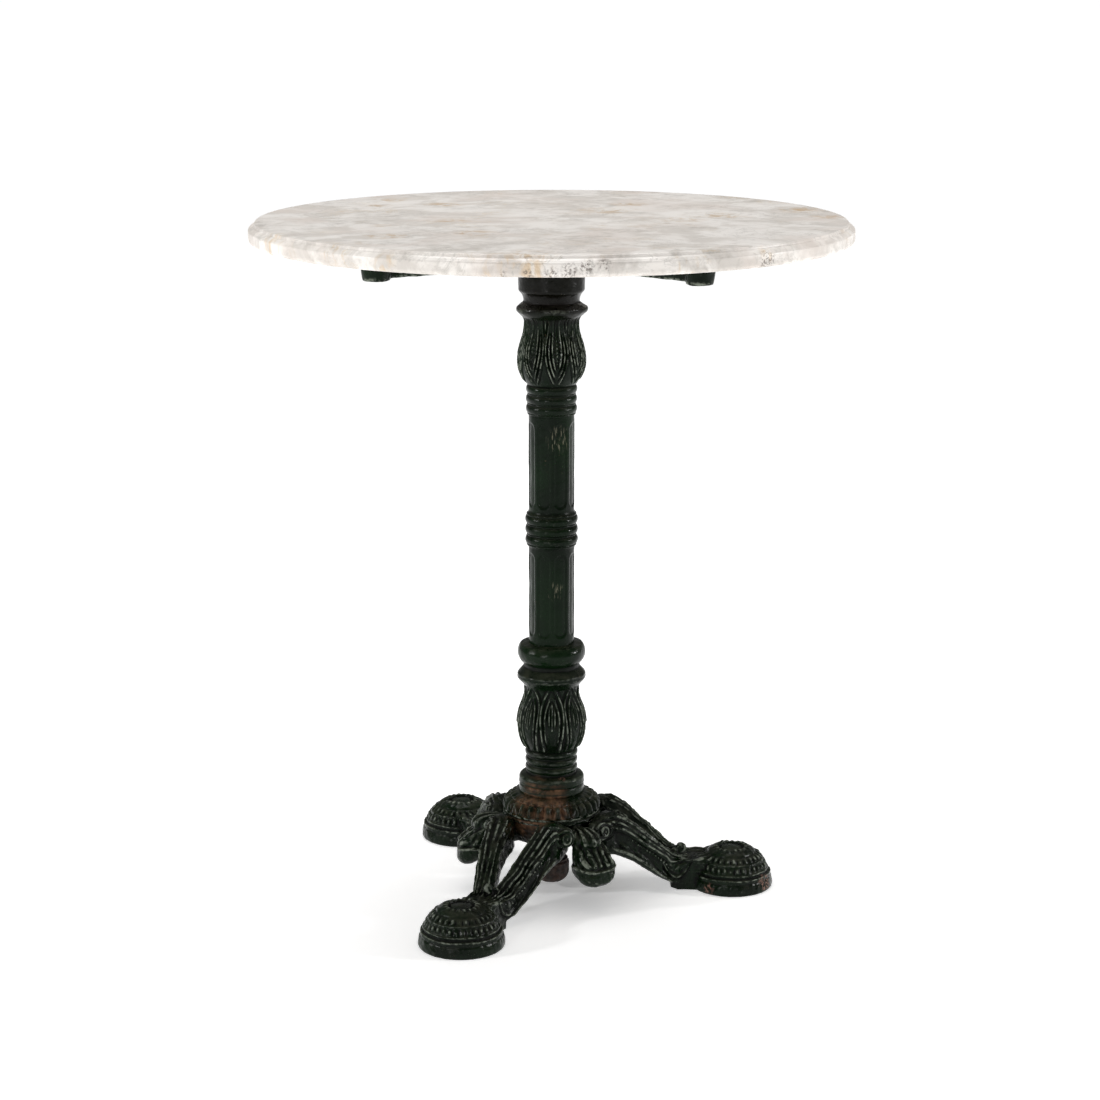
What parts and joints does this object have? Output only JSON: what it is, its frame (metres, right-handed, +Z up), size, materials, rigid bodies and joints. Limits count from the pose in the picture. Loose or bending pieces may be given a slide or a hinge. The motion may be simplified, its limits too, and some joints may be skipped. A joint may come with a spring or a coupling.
{
  "type": "bistro table",
  "caption": "Round marble-topped pedestal table on an ornate cast iron column with a forked tripod base, held together by a central tie rod.",
  "frame": {"origin": "on the floor, under the middle of the column", "axes": "+Z up along the column; +X along the first leg, through the middle of its foot"},
  "size_m": [0.6, 0.6, 0.7],
  "materials": {
    "marble": "polished, veined",
    "painted_iron": "dark green gloss paint, worn and rust-stained",
    "bare_iron": "unpainted, rusty",
    "steel": "dull zinc",
    "brass": "dull",
    "rubber": "matt"
  },
  "bodies": {
    "root": {"marble_top": "marble", "marble_anchors": "brass", "bracket_pads": "rubber", "top_bracket": "painted_iron", "bracket_screws": "steel", "bracket_screw_washers": "steel", "capital": "painted_iron", "shaft": "painted_iron", "baluster": "painted_iron", "gadroon_collar": "painted_iron", "base_hub": "painted_iron", "leg_right": "painted_iron", "leg_rear": "painted_iron", "leg_front": "painted_iron", "leg_bolts": "steel", "leg_washers": "steel", "tie_rod": "steel", "tie_rod_top_washer": "steel", "tie_rod_top_nut": "steel", "tie_rod_bottom_washer": "bare_iron", "tie_rod_cap_nut": "bare_iron"}
  },
  "joints": []
}
